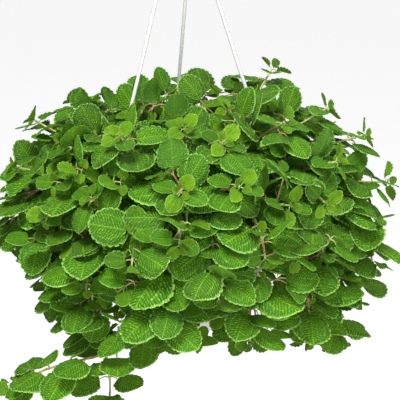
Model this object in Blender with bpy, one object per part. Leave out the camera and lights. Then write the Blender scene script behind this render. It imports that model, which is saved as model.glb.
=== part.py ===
"""Potted creeping charlie: a trailing plant in a round pot hung from a hook by three strands.

Metres, +Z up.  The origin is the bearing point inside the top of the hook, so the whole
object hangs below it.  -Y is the front.  Every stem with its leaves is one closed body.
"""
import math

import bpy
import numpy as np
from mathutils.bvhtree import BVHTree
from mathutils.kdtree import KDTree

MM = 0.001

# Hook and hub
HOOK_INNER_RADIUS = 12.0 * MM
ROD_RADIUS = 2.6 * MM
HOOK_DROP = 52.0 * MM
HUB_RADIUS = 12.0 * MM
HUB_THICKNESS = 4.0 * MM
HUB_HOLE_RADIUS = 1.8 * MM
HUB_HOLE_CIRCLE = 8.0 * MM
HUB_TWIST = math.radians(-42.0)

# Strands
HANG_HEIGHT = 211.0 * MM
STRAND_RADIUS = 1.35 * MM
NECK_RADIUS = 1.1 * MM
KNOB_RADIUS = 2.6 * MM
KNOB_HEIGHT = 4.2 * MM
STRAND_ANGLES = {"strand_front_left": -50.0, "strand_right": 70.0, "strand_back": -170.0}

# Pot
RIM_RADIUS = 82.0 * MM
FLANGE_THICKNESS = 2.2 * MM
LIP_HEIGHT = 5.0 * MM
BODY_TOP_RADIUS = 72.0 * MM
BASE_RADIUS = 52.0 * MM
POT_HEIGHT = 98.0 * MM
WALL = 1.8 * MM
SLOT_CIRCLE = 76.0 * MM
SLOT_RADIUS = 2.2 * MM
DRAIN_CIRCLE = 30.0 * MM
DRAIN_RADIUS = 4.0 * MM
DRAIN_COUNT = 5
POT_SEGMENTS = 48

# Potting mix
SOIL_DEPTH_BELOW_RIM = 12.0 * MM
SOIL_MOUND = 2.0 * MM
GAP = 0.3 * MM

# Plant
LEAF_LENGTH = 32.0 * MM
LEAF_THICKNESS = 1.2 * MM
PETIOLE_SHARE = 0.2
STEM_ROOT_HALF = 1.15 * MM
STEM_TIP_HALF = 0.75 * MM
NODE_HALF = 1.1 * MM
RING_STEP = 15.0 * MM
PROBE_GROW = 0.6 * MM
STRAY = 0.35 * MM
STEM_CLEARANCE = 6.4 * MM
PATH_POINTS = 50
SETTLE_STEPS = 110
ROOT_CIRCLE = 60.0 * MM
BARE_STEM = 34.0 * MM
DOME_RADIUS = 135.0 * MM
DOME_HALF_HEIGHT = 92.0 * MM
DOME_CENTRE_DROP = 25.0 * MM
TIP_SPACING = 33.0 * MM
VINE_COUNT = 54
MAX_PAIRS = 7
SEED = 11

RIM_Z = -HOOK_DROP - HANG_HEIGHT
SOIL_Z = RIM_Z - SOIL_DEPTH_BELOW_RIM

# Leaf length as a share of LEAF_LENGTH and distance to the next pair, counted from the tip back
PAIR_SIZES = (0.5, 0.76, 0.94, 1.05, 1.04, 1.0, 0.96, 0.92)
PAIR_STEPS = (8.0 * MM, 12.0 * MM, 16.0 * MM, 19.0 * MM, 21.0 * MM, 22.0 * MM, 22.0 * MM)

# Shoot tips that shape the plant, in millimetres from the centre of the rim: x, y, z
SHOOT_TIPS = (
    (-3, -118, 36), (37, -112, 38), (72, -95, 19), (-46, -85, 66), (-1, -75, 69),
    (26, -85, 62), (70, -60, 70), (-4, -130, 3), (55, -116, -13), (23, -125, -40),
    (-37, -120, -16), (99, -80, 16), (-14, -113, -76), (92, -64, -96), (46, -100, -82),
    (-130, -10, 22), (-140, -15, -34), (-118, 15, 52), (-88, 30, 62), (-66, -92, 6),
    (-68, -86, -56), (-94, -60, -20), (134, -6, 46), (152, -10, 10), (144, -20, -16),
    (144, -20, -55), (131, -26, -82), (117, -20, -120), (67, 45, 86), (-30, 52, 62),
    (14, 70, 62), (107, 12, 62), (-92, -34, 46), (108, -58, 40), (100, -78, -24),
)

# Two long stems that trail below the pot on the left, as points from the soil outward
LONG_STEMS = (
    ((-34, -48, -9), (-40, -60, 8), (-36, -86, 18), (-24, -106, -14), (-17, -108, -62),
     (-36, -102, -88), (-62, -90, -101), (-98, -76, -110), (-118, -66, -124), (-134, -60, -137)),
    ((-46, -38, -9), (-56, -52, 9), (-68, -66, 16), (-76, -78, -18), (-72, -80, -60),
     (-62, -70, -98), (-54, -74, -124), (-58, -80, -146)),
)

RNG = np.random.default_rng(SEED)


def unit(v):
    """Return the vectors in v scaled to length one."""
    v = np.asarray(v, float)
    return v / np.maximum(np.linalg.norm(v, axis=-1, keepdims=True), 1e-12)


def material(name, colour, roughness):
    """Make a Principled material of one colour."""
    mat = bpy.data.materials.new(name)
    mat.use_nodes = True
    shader = mat.node_tree.nodes["Principled BSDF"]
    shader.inputs["Base Color"].default_value = (*colour, 1.0)
    shader.inputs["Roughness"].default_value = roughness
    mat.diffuse_color = (*colour, 1.0)
    return mat


def add_object(name, verts, faces, mat):
    """Make a mesh object from vertex positions and faces, with one material."""
    mesh = bpy.data.meshes.new(name)
    mesh.from_pydata([tuple(map(float, v)) for v in verts], [], faces)
    mesh.update()
    if mat is not None:
        mesh.materials.append(mat)
    obj = bpy.data.objects.new(name, mesh)
    bpy.context.scene.collection.objects.link(obj)
    return obj


def carve(obj, cutter, operation="DIFFERENCE"):
    """Cut or join a hidden helper body with an exact Boolean."""
    cutter.hide_render = True
    cutter.display_type = "WIRE"
    mod = obj.modifiers.new(cutter.name, "BOOLEAN")
    mod.operation = operation
    mod.solver = "EXACT"
    mod.object = cutter


def lathe(profile, segments):
    """Turn a closed (radius, z) profile about the Z axis; radius 0 gives a single pole point."""
    verts = []
    rows = []
    for radius, z in profile:
        if radius < 1e-9:
            rows.append([len(verts)] * segments)
            verts.append((0.0, 0.0, z))
            continue
        rows.append(list(range(len(verts), len(verts) + segments)))
        for k in range(segments):
            angle = 2 * math.pi * k / segments
            verts.append((radius * math.cos(angle), radius * math.sin(angle), z))
    faces = []
    for low, high in zip(rows[:-1], rows[1:]):
        for k in range(segments):
            j = (k + 1) % segments
            ring = [low[k], low[j], high[j], high[k]]
            face = [v for i, v in enumerate(ring) if v != ring[i - 1]]
            if len(face) > 2:
                faces.append(face)
    return verts, faces


def post(centre, radius, z_low, z_high, segments):
    """Return an upright closed cylinder."""
    verts = []
    for z in (z_low, z_high):
        for k in range(segments):
            angle = 2 * math.pi * (k + 0.5) / segments
            verts.append((centre[0] + radius * math.cos(angle), centre[1] + radius * math.sin(angle), z))
    faces = [list(range(segments))[::-1], list(range(segments, 2 * segments))]
    for k in range(segments):
        j = (k + 1) % segments
        faces.append([k, j, segments + j, segments + k])
    return verts, faces


def gather(bodies):
    """Put several separate bodies into one vertex and face list."""
    verts = []
    faces = []
    for body_verts, body_faces in bodies:
        start = len(verts)
        verts.extend(body_verts)
        faces.extend([[start + i for i in face] for face in body_faces])
    return verts, faces


def frames_along(points, side):
    """Carry a cross-section frame along a path without twisting it."""
    points = np.asarray(points, float)
    tangents = unit(np.gradient(points, axis=0))
    sides = []
    side = np.asarray(side, float)
    for tangent in tangents:
        side = side - tangent * np.dot(side, tangent)
        side = unit(side)
        sides.append(side)
    sides = np.array(sides)
    return tangents, sides, np.cross(tangents, sides)


def sweep(points, radii, segments, side=(0.0, 1.0, 0.0)):
    """Sweep a round section of changing radius along a path, with flat ends."""
    points = np.asarray(points, float)
    _, u, v = frames_along(points, side)
    verts = []
    for centre, radius, a, b in zip(points, radii, u, v):
        for k in range(segments):
            angle = 2 * math.pi * k / segments
            verts.append(centre + radius * (math.cos(angle) * a + math.sin(angle) * b))
    faces = [list(range(segments))[::-1]]
    for row in range(len(points) - 1):
        for k in range(segments):
            j = (k + 1) % segments
            low = row * segments
            faces.append([low + k, low + j, low + segments + j, low + segments + k])
    faces.append(list(range(len(verts) - segments, len(verts))))
    return verts, faces


def smooth_path(points, count):
    """Sample a Catmull-Rom curve through the points at equal steps of length."""
    points = np.asarray(points, float)
    ends = np.vstack([2 * points[0] - points[1], points, 2 * points[-1] - points[-2]])
    t = np.linspace(0, 1, 12, endpoint=False)[:, None]
    curve = []
    for p0, p1, p2, p3 in zip(ends[:-3], ends[1:-2], ends[2:-1], ends[3:]):
        curve.append(0.5 * (2 * p1 + (p2 - p0) * t + (2 * p0 - 5 * p1 + 4 * p2 - p3) * t**2
                            + (3 * p1 - p0 - 3 * p2 + p3) * t**3))
    curve = np.vstack([*curve, points[-1:]])
    return at_length(curve, np.linspace(0, path_length(curve), count))


def path_length(points):
    """Return the length of a polyline."""
    return float(np.linalg.norm(np.diff(points, axis=0), axis=1).sum())


def at_length(points, where):
    """Return the points of a polyline at the given distances along it."""
    steps = np.linalg.norm(np.diff(points, axis=0), axis=1)
    along = np.concatenate([[0.0], np.cumsum(steps)])
    return np.stack([np.interp(where, along, points[:, k]) for k in range(3)], axis=1)


def build_hook(mat):
    """Open hook, bent shank and round hub with three strand holes, in one piece."""
    centre_z = -HOOK_INNER_RADIUS
    bend = HOOK_INNER_RADIUS + ROD_RADIUS
    angles = np.radians(np.linspace(205.0, -50.0, 22))
    arc = [(bend * math.cos(a), 0.0, centre_z + bend * math.sin(a)) for a in angles]
    hub_top = -HOOK_DROP + HUB_THICKNESS / 2
    shank = [(3.4 * MM, 0.0, -28.8 * MM), (0.6 * MM, 0.0, -34.0 * MM), (0.0, 0.0, -40.0 * MM)]
    path = arc + shank + [(0.0, 0.0, hub_top - HUB_THICKNESS / 2)]
    radii = [ROD_RADIUS] * len(path)
    radii[0] = ROD_RADIUS * 0.7
    rod = add_object("hook_rod", *sweep(path, radii, 10), None)
    hub = add_object("hanger_hook", *post((0, 0), HUB_RADIUS, -HOOK_DROP - HUB_THICKNESS / 2, hub_top, 28), mat)
    holes = []
    for point in hub_points().values():
        holes.append(post(point, HUB_HOLE_RADIUS, -HOOK_DROP - HUB_THICKNESS, -HOOK_DROP + HUB_THICKNESS, 12))
    carve(hub, rod, "UNION")
    carve(hub, add_object("hub_holes", *gather(holes), None))
    return hub


def hub_points():
    """Where each strand passes through the hub."""
    points = {}
    for name, angle in STRAND_ANGLES.items():
        a = math.radians(angle - 90.0) + HUB_TWIST
        points[name] = (HUB_HOLE_CIRCLE * math.cos(a), HUB_HOLE_CIRCLE * math.sin(a))
    return points


def slot_points():
    """Where each strand passes through the rim."""
    points = {}
    for name, angle in STRAND_ANGLES.items():
        a = math.radians(angle - 90.0)
        points[name] = (SLOT_CIRCLE * math.cos(a), SLOT_CIRCLE * math.sin(a))
    return points


def build_strand(name, mat):
    """One straight strand: a knob above the hub, the strand, and a foot below the rim."""
    hx, hy = hub_points()[name]
    rx, ry = slot_points()[name]
    top = -HOOK_DROP + HUB_THICKNESS / 2 + GAP
    low = -HOOK_DROP - HUB_THICKNESS / 2 - GAP
    rim_top = RIM_Z + GAP
    rim_low = RIM_Z - FLANGE_THICKNESS - GAP
    stations = [
        (hx, hy, top + KNOB_HEIGHT, KNOB_RADIUS * 0.6),
        (hx, hy, top + KNOB_HEIGHT * 0.75, KNOB_RADIUS),
        (hx, hy, top + 0.01 * MM, KNOB_RADIUS),
        (hx, hy, top, NECK_RADIUS),
        (hx, hy, low, NECK_RADIUS),
        (hx, hy, low - 1.0 * MM, STRAND_RADIUS),
        (hx + (rx - hx) * 0.5, hy + (ry - hy) * 0.5, (low + rim_top) / 2, STRAND_RADIUS),
        (rx, ry, rim_top + 3.0 * MM, STRAND_RADIUS),
        (rx, ry, rim_top + 1.0 * MM, NECK_RADIUS),
        (rx, ry, rim_low, NECK_RADIUS),
        (rx, ry, rim_low - 0.01 * MM, KNOB_RADIUS),
        (rx, ry, rim_low - 2.4 * MM, KNOB_RADIUS),
        (rx, ry, rim_low - 3.2 * MM, KNOB_RADIUS * 0.6),
    ]
    points = [s[:3] for s in stations]
    radii = [s[3] for s in stations]
    return add_object(name, *sweep(points, radii, 8, (1.0, 0.0, 0.0)), mat)


def wall_radius(z):
    """Outer radius of the pot body at height z."""
    share = (z - (RIM_Z - POT_HEIGHT)) / POT_HEIGHT
    return BASE_RADIUS + (BODY_TOP_RADIUS - BASE_RADIUS) * share


def build_pot(mat):
    """Tapered pot with a turned-down rim, three strand slots and drain holes."""
    base = RIM_Z - POT_HEIGHT
    under = RIM_Z - FLANGE_THICKNESS
    profile = [
        (0.0, base),
        (BASE_RADIUS - 2.0 * MM, base),
        (BASE_RADIUS, base + 2.0 * MM),
        (wall_radius(under), under),
        (RIM_RADIUS - WALL, under),
        (RIM_RADIUS - WALL, RIM_Z - LIP_HEIGHT),
        (RIM_RADIUS, RIM_Z - LIP_HEIGHT),
        (RIM_RADIUS, RIM_Z - 0.8 * MM),
        (RIM_RADIUS - 0.8 * MM, RIM_Z),
        (BODY_TOP_RADIUS - WALL, RIM_Z),
        (wall_radius(base + WALL) - WALL, base + WALL),
        (0.0, base + WALL),
    ]
    pot = add_object("pot", *lathe(profile, POT_SEGMENTS), mat)
    cutters = []
    for point in slot_points().values():
        cutters.append(post(point, SLOT_RADIUS, RIM_Z - 2 * FLANGE_THICKNESS, RIM_Z + FLANGE_THICKNESS, 10))
    for k in range(DRAIN_COUNT):
        angle = 2 * math.pi * (k + 0.25) / DRAIN_COUNT
        point = (DRAIN_CIRCLE * math.cos(angle), DRAIN_CIRCLE * math.sin(angle))
        cutters.append(post(point, DRAIN_RADIUS, base - WALL, base + 2 * WALL, 12))
    carve(pot, add_object("pot_holes", *gather(cutters), None))
    return pot


def build_soil(mat):
    """Potting mix filling the pot to just below the rim, slightly mounded."""
    base = RIM_Z - POT_HEIGHT + WALL + GAP
    inset = WALL + 2 * GAP
    profile = [
        (0.0, base),
        (wall_radius(base) - inset, base),
        (wall_radius(SOIL_Z) - inset, SOIL_Z),
        (wall_radius(SOIL_Z) * 0.66, SOIL_Z + SOIL_MOUND * 0.7),
        (wall_radius(SOIL_Z) * 0.33, SOIL_Z + SOIL_MOUND),
        (0.0, SOIL_Z + SOIL_MOUND),
    ]
    return add_object("potting_mix", *lathe(profile, 40), mat)


def dome_tips(count):
    """Shoot tips from the list first, then golden-angle points on the dome that keep apart."""
    tips = [np.array(tip) * MM for tip in SHOOT_TIPS]
    blocked = tips + [np.array(stem[-1]) * MM for stem in LONG_STEMS]
    samples = 900
    index = np.arange(samples)
    height = 1.0 - 1.75 * (index + 0.5) / samples
    angle = index * math.pi * (3.0 - math.sqrt(5.0))
    flat = np.sqrt(1.0 - height**2)
    points = np.stack([
        DOME_RADIUS * flat * np.cos(angle),
        DOME_RADIUS * flat * np.sin(angle),
        DOME_HALF_HEIGHT * height - DOME_CENTRE_DROP,
    ], axis=1)
    while len(tips) < count:
        away = np.min(np.linalg.norm(points[:, None] - np.array(blocked)[None], axis=2), axis=1)
        best = int(np.argmax(away))
        if away[best] < TIP_SPACING * 0.7:
            break
        tip = points[best] * (1.0 + 0.04 * RNG.standard_normal())
        tips.append(tip)
        blocked.append(tip)
    return tips


def stem_route(tip):
    """A stem from the soil to its tip: up and out in the crown, over the rim when it trails."""
    reach = math.hypot(tip[0], tip[1])
    azimuth = math.atan2(tip[1], tip[0]) + 0.05 * RNG.standard_normal()
    across = np.array([math.cos(azimuth), math.sin(azimuth), 0.0])
    up = np.array([0.0, 0.0, 1.0])
    lift = RNG.uniform(-4.0, 6.0) * MM
    soil_top = -SOIL_DEPTH_BELOW_RIM + SOIL_MOUND + GAP + 0.6 * MM
    if tip[2] > 28 * MM:
        root = min(0.58 * reach, ROOT_CIRCLE) * RNG.uniform(0.75, 1.0)
        mid = root + 0.35 * (reach - root)
        points = [across * root + up * soil_top, across * (root + 2 * MM) + up * (4 * MM + lift),
                  across * mid + up * (0.62 * tip[2] + lift), tip]
        return np.array(points)
    root = ROOT_CIRCLE * RNG.uniform(0.86, 1.04)
    arch = RIM_RADIUS + 5 * MM
    high = max(18 * MM, 0.5 * tip[2] + 10 * MM) + lift
    points = [across * root + up * soil_top, across * (root + 6 * MM) + up * 8 * MM, across * arch + up * high]
    bend = across * max(0.97 * reach, 100 * MM) + up * (high - 4 * MM)
    for t in (0.3, 0.6, 0.85):
        points.append((1 - t)**2 * points[2] + 2 * t * (1 - t) * bend + t**2 * tip)
    points.append(tip)
    return np.array(points)


def keep_clear_of_pot(points):
    """Lift or push stem points (measured from the rim centre) out of the rim and the soil."""
    radius = np.hypot(points[..., 0], points[..., 1])
    floor = np.where(radius > BODY_TOP_RADIUS - 4 * MM, 4.0 * MM, -SOIL_DEPTH_BELOW_RIM + 5 * MM)
    inside = radius < RIM_RADIUS + 1.0 * MM
    low = inside & (points[..., 2] < floor)
    points[..., 2] = np.where(low, floor, points[..., 2])
    outer = RIM_RADIUS + 4.0 * MM
    near = (~inside) & (radius < outer) & (points[..., 2] < 3 * MM)
    push = np.where(near, outer / np.maximum(radius, 1e-6), 1.0)
    points[..., :2] *= push[..., None]
    return points


def settle(paths, rods):
    """Push stems apart and away from the strands, keeping their roots and tips in place."""
    stems = np.array(paths)
    count, steps, _ = stems.shape
    for _ in range(SETTLE_STEPS):
        flat = stems.reshape(-1, 3)
        tree = KDTree(len(flat) + len(rods))
        for i, point in enumerate(np.vstack([flat, rods])):
            tree.insert(point, i)
        tree.balance()
        move = np.zeros_like(flat)
        for i, point in enumerate(flat):
            for other, j, gap in tree.find_range(point, STEM_CLEARANCE):
                if j < len(flat) and j // steps == i // steps:
                    continue
                share = (0.3 if j < len(flat) else 0.9) * (STEM_CLEARANCE - gap) / max(gap, 0.01 * MM)
                move[i] += share * (point - np.array(other))
        move = move.reshape(stems.shape)
        size = np.linalg.norm(move, axis=2, keepdims=True)
        move *= np.minimum(1.0, 2.0 * MM / np.maximum(size, 1e-9))
        move[:, 0] *= np.array([0.5, 0.5, 0.0])
        move[:, -1] *= 0.3
        stems += move
        stems[:, 1:-1] += 0.25 * (0.5 * (stems[:, :-2] + stems[:, 2:]) - stems[:, 1:-1])
        stems[:, 1:] = keep_clear_of_pot(stems[:, 1:])
    return stems


def leaf_outline(length):
    """Side outline of a leaf as (distance from the stem, half width, height) of its corners."""
    stalk = PETIOLE_SHARE * length
    blade = length - stalk
    return stalk, blade, ((stalk + 0.2 * blade, 0.41 * blade), (stalk + 0.68 * blade, 0.43 * blade))


def leaf_corners(base, d, n, length, grow=0.0):
    """Corner points of a leaf: right pair, tip, left pair, upper and lower centre."""
    w = np.cross(n, d)
    stalk, blade, ((a1, b1), (a2, b2)) = leaf_outline(length)
    half = LEAF_THICKNESS / 2 + grow
    return [
        base + d * (a1 - grow) + w * (b1 + grow),
        base + d * (a2 + grow) + w * (b2 + grow),
        base + d * (length + grow) - n * 0.03 * blade,
        base + d * (a2 + grow) - w * (b2 + grow),
        base + d * (a1 - grow) - w * (b1 + grow),
        base + d * (stalk + 0.45 * blade) + n * half,
        base + d * (stalk + 0.5 * blade) - n * half,
    ]


def leaf_probe(base, d, n, length, start=0.07):
    """A slightly larger copy of a leaf that starts at a share of its length, for testing room."""
    verts = leaf_corners(base, d, n, length, PROBE_GROW)
    w = np.cross(n, d) * (0.9 * MM + PROBE_GROW)
    h = n * (1.1 * MM + 0.5 * PROBE_GROW) * (1.0 - start)
    foot = base + d * start * length
    verts.extend([foot + w + h, foot - w + h, foot - w - h, foot + w - h])
    ring = [2, 1, 0, 7, 8, 4, 3]
    under = [2, 3, 4, 9, 10, 0, 1]
    faces = [(ring[i], ring[(i + 1) % 7], 5) for i in range(7)]
    faces.extend([(under[i], under[(i + 1) % 7], 6) for i in range(7)])
    faces.extend([(7, 0, 10), (8, 9, 4)])
    return BVHTree.FromPolygons([tuple(v) for v in verts], faces)


def stems_in_leaf(base, d, n, length, stem_points):
    """True when any stem point lies inside the blade or closer than the clearance to it."""
    rel = stem_points - base
    a = rel @ d
    b = np.abs(rel @ np.cross(n, d))
    h = np.abs(rel @ n)
    stalk, blade, ((a1, b1), (a2, b2)) = leaf_outline(length)
    width = np.interp(a, [0.0, a1, a2, length], [0.9 * MM, b1, b2, 0.0])
    hit = (a > 3.0 * MM) & (a < length + 2.4 * MM) & (b < width + 2.4 * MM) & (h < 2.7 * MM)
    return bool(hit.any())


def turn(vector, axis, angle):
    """Turn a vector about a unit axis."""
    c = math.cos(angle)
    s = math.sin(angle)
    return vector * c + np.cross(axis, vector) * s + axis * np.dot(axis, vector) * (1 - c)


def leaf_pose(side, tangent, place, tipness):
    """Direction and upper-side normal of a leaf on a stem side, turned to face up and out."""
    up = np.array([0.0, 0.0, 1.0])
    reach = math.hypot(place[0], place[1])
    outward = np.array([place[0], place[1], 0.0]) / max(reach, 1e-6)
    lean = min(reach / (110 * MM), 1.2)
    face = 0.72 * up + 0.72 * lean * outward + 0.24 * RNG.standard_normal(3)
    face = unit((1 - 0.6 * tipness) * unit(face) + 0.75 * tipness * tangent)
    d = unit(side + (0.25 + 0.15 * tipness) * tangent + 0.35 * (1 - tipness) * outward)
    n = unit(face - 0.65 * np.dot(face, d) * d)
    d = unit(d - np.dot(d, n) * n)
    return d, n


def place_leaf(base, side, tangent, place, size, tipness, room):
    """Find a pose with room for the leaf, trying turns and smaller sizes; None when it won't fit."""
    d0, n0 = leaf_pose(side, tangent, place, tipness)
    for shrink in (1.0, 0.88, 0.76):
        for tilt, roll in ((0, 0), (16, 0), (-16, 0), (0, 18), (0, -18), (26, 14), (-26, -14), (36, 0), (-36, 0)):
            w0 = np.cross(n0, d0)
            d = turn(d0, w0, math.radians(tilt))
            n = turn(n0, w0, math.radians(tilt))
            w = np.cross(n, d)
            n = turn(n, d, math.radians(roll))
            d = turn(d, n, math.radians(roll * 0.8))
            if np.dot(d, side) < 0.3:
                continue
            length = size * shrink
            if room.free(base, d, n, length):
                return d, n, length
    return None


class Room:
    """Keeps the bodies already placed and answers whether a new leaf fits among them."""

    def __init__(self, solids, stem_points):
        self.solids = solids
        self.stem_points = stem_points
        self.centres = []
        self.reaches = []
        self.leaves = []

    def free(self, base, d, n, length):
        """True when the leaf touches no solid, stem or other leaf."""
        if stems_in_leaf(base, d, n, length, self.stem_points):
            return False
        if leaf_probe(base, d, n, length, 0.02).overlap(self.solids):
            return False
        probe = leaf_probe(base, d, n, length)
        if not self.centres:
            return True
        centre = base + d * length * 0.6
        gaps = np.linalg.norm(np.array(self.centres) - centre, axis=1)
        near = np.nonzero(gaps < 0.62 * length + 2 * MM + np.array(self.reaches))[0]
        return not any(probe.overlap(self.leaves[i]) for i in near)

    def add(self, base, d, n, length):
        """Keep a placed leaf."""
        self.centres.append(base + d * length * 0.6)
        self.reaches.append(0.62 * length)
        self.leaves.append(leaf_probe(base, d, n, length))


def stem_stations(length):
    """Ring positions along a stem, and for each leaf pair its position and order from the tip."""
    pairs = []
    where = length - 3.2 * MM
    for order in range(MAX_PAIRS):
        if where < BARE_STEM:
            break
        pairs.append((where, order))
        where -= PAIR_STEPS[min(order, len(PAIR_STEPS) - 1)]
    rings = [0.0]
    for position, _ in reversed(pairs):
        gap = position - NODE_HALF - rings[-1]
        extra = int(gap // RING_STEP)
        for k in range(extra):
            rings.append(rings[-1] + gap / (extra + 1))
        rings.append(position - NODE_HALF)
        rings.append(position + NODE_HALF)
    rings.append(length)
    return rings, pairs


def add_rings(path, rings):
    """Add rings wherever the straight run between two rings would stray from the path."""
    added = []
    for low, high in zip(rings[:-1], rings[1:]):
        a, b = at_length(path, np.array([low, high]))
        between = at_length(path, np.linspace(low, high, 9))
        along = unit(b - a)
        side = between - a
        side = side - np.outer(side @ along, along)
        if np.linalg.norm(side, axis=1).max() > STRAY and high - low > 4 * NODE_HALF:
            added.append((low + high) / 2)
    if not added:
        return rings
    return add_rings(path, sorted([*rings, *added]))


class Vine:
    """One stem with its leaves, grown ring by ring into a single closed mesh."""

    def __init__(self, path):
        self.path = path
        self.length = path_length(path)
        self.stations, self.pairs = stem_stations(self.length)
        self.stations = add_rings(path, self.stations)
        rings = at_length(path, np.array(self.stations))
        fine = at_length(path, np.linspace(0, self.length, 80))
        outward = unit(path[-1] * np.array([1.0, 1.0, 0.0]))
        t, u, _ = frames_along(fine, outward + np.array([-outward[1], outward[0], 0.0]))
        pick = np.clip(np.array(self.stations) / self.length * 79, 0, 79).round().astype(int)
        self.tangents = t[pick]
        self.u = u[pick]
        self.v = np.cross(self.tangents, self.u)
        self.rings = rings
        self.leaves = {}

    def half(self, station):
        """Half width of the square stem at a distance along it."""
        share = station / self.length
        return STEM_ROOT_HALF + (STEM_TIP_HALF - STEM_ROOT_HALF) * share

    def corners(self, row):
        """The four corners of one ring."""
        w = self.half(self.stations[row])
        c = self.rings[row]
        u = self.u[row]
        v = self.v[row]
        return [c + w * (u + v), c + w * (v - u), c - w * (u + v), c + w * (u - v)]

    def pair_rows(self):
        """Row, side numbers and order from the tip of every leaf pair."""
        rows = []
        for position, order in self.pairs:
            row = int(np.argmin(np.abs(np.array(self.stations) - (position - NODE_HALF))))
            sides = (0, 2) if order % 2 else (1, 3)
            rows.append((row, sides, order))
        return rows

    def grow(self, order_wanted, room):
        """Place the leaves of one pair."""
        for row, sides, order in self.pair_rows():
            if order != order_wanted:
                continue
            for side in sides:
                low = self.corners(row)
                high = self.corners(row + 1)
                quad = [low[side], low[(side + 1) % 4], high[(side + 1) % 4], high[side]]
                base = np.mean(quad, axis=0)
                out = unit(np.cross(quad[1] - quad[0], quad[3] - quad[0]))
                size = LEAF_LENGTH * PAIR_SIZES[order] * RNG.uniform(0.9, 1.08)
                tipness = max(0.0, 1.0 - order / 2.5)
                found = place_leaf(base, out, self.tangents[row], self.rings[row], size, tipness, room)
                if found is None:
                    continue
                room.add(base, *found)
                self.leaves[(row, side)] = (base, *found)

    def mesh(self):
        """Vertices and faces of the stem and its leaves."""
        verts = []
        for row in range(len(self.stations)):
            verts.extend(self.corners(row))
        faces = [[3, 2, 1, 0]]
        for row in range(len(self.stations) - 1):
            for side in range(4):
                j = (side + 1) % 4
                low = 4 * row
                quad = [low + side, low + j, low + 4 + j, low + 4 + side]
                if (row, side) in self.leaves:
                    self.add_leaf(verts, faces, quad, self.leaves[(row, side)])
                else:
                    faces.append(quad)
        end = 4 * (len(self.stations) - 1)
        faces.append([end, end + 1, end + 2, end + 3])
        return verts, faces

    def add_leaf(self, verts, faces, quad, leaf):
        """Replace one side quad of the stem by a leaf that grows out of it."""
        base, d, n, length = leaf
        height = [np.dot(verts[quad[i]] + verts[quad[(i + 1) % 4]], n) for i in range(4)]
        first = int(np.argmax(height))
        a, b, b_low, a_low = [quad[(first + k) % 4] for k in range(4)]
        start = len(verts)
        verts.extend(leaf_corners(base, d, n, length))
        p1, p2, p3, p4, p5, top, low = range(start, start + 7)
        ring = [p3, p2, p1, a, b, p5, p4]
        under = [p3, p4, p5, b_low, a_low, p1, p2]
        for i in range(7):
            faces.append([ring[i], ring[(i + 1) % 7], top])
            faces.append([under[i], under[(i + 1) % 7], low])
        faces.append([a, p1, a_low])
        faces.append([b, b_low, p5])


def solid_tree(objects):
    """Surface tree of finished objects, in rim-centred positions."""
    verts = []
    faces = []
    depsgraph = bpy.context.evaluated_depsgraph_get()
    for obj in objects:
        mesh = obj.evaluated_get(depsgraph).to_mesh()
        start = len(verts)
        verts.extend([(v.co.x, v.co.y, v.co.z - RIM_Z) for v in mesh.vertices])
        faces.extend([[start + i for i in face.vertices] for face in mesh.polygons])
    return BVHTree.FromPolygons(verts, faces)


def build_plant(solids, mat):
    """Route the stems, place the leaves from the tips inward and make one object per vine."""
    paths = []
    for points in LONG_STEMS:
        paths.append(smooth_path(np.array(points) * MM, PATH_POINTS))
    for tip in dome_tips(VINE_COUNT - len(LONG_STEMS)):
        paths.append(smooth_path(stem_route(tip), PATH_POINTS))
    rods = []
    for name in STRAND_ANGLES:
        hx, hy = hub_points()[name]
        rx, ry = slot_points()[name]
        high = HANG_HEIGHT - HUB_THICKNESS / 2
        for share in np.linspace(0.4, 1.0, 80):
            rods.append((hx + (rx - hx) * share, hy + (ry - hy) * share, 3 * MM + (high - 3 * MM) * (1 - share)))
        rods.append((rx, ry, 0.0))
    stems = settle(paths, np.array(rods))
    vines = [Vine(path) for path in stems]
    points = np.vstack([at_length(vine.path, np.arange(0, vine.length, 2.0 * MM)) for vine in vines])
    room = Room(solid_tree(solids), points)
    for order in range(MAX_PAIRS):
        for vine in vines:
            vine.grow(order, room)
    for number, vine in enumerate(vines, 1):
        verts, faces = vine.mesh()
        add_object(f"vine_{number:02d}", np.array(verts) + np.array([0.0, 0.0, RIM_Z]), faces, mat)


def main():
    """Clear the file and build every part."""
    for obj in list(bpy.data.objects):
        bpy.data.objects.remove(obj, do_unlink=True)
    white = material("white_plastic", (0.82, 0.82, 0.80), 0.35)
    cord = material("strand_plastic", (0.86, 0.86, 0.85), 0.4)
    earth = material("potting_mix", (0.05, 0.03, 0.02), 0.95)
    leaf = material("plant", (0.09, 0.2, 0.03), 0.5)
    solids = [build_hook(white), build_pot(white), build_soil(earth)]
    for name in STRAND_ANGLES:
        solids.append(build_strand(name, cord))
    build_plant(solids, leaf)


main()
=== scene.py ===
"""Looks of a potted creeping charlie in a hanging pot.

The CAD shoots give the place, direction and size of every stem and leaf.  Each is rebuilt here as a
round stem with scalloped, puckered leaves, and small tip leaves and side twigs fill the plant out.
"""

import math

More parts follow.
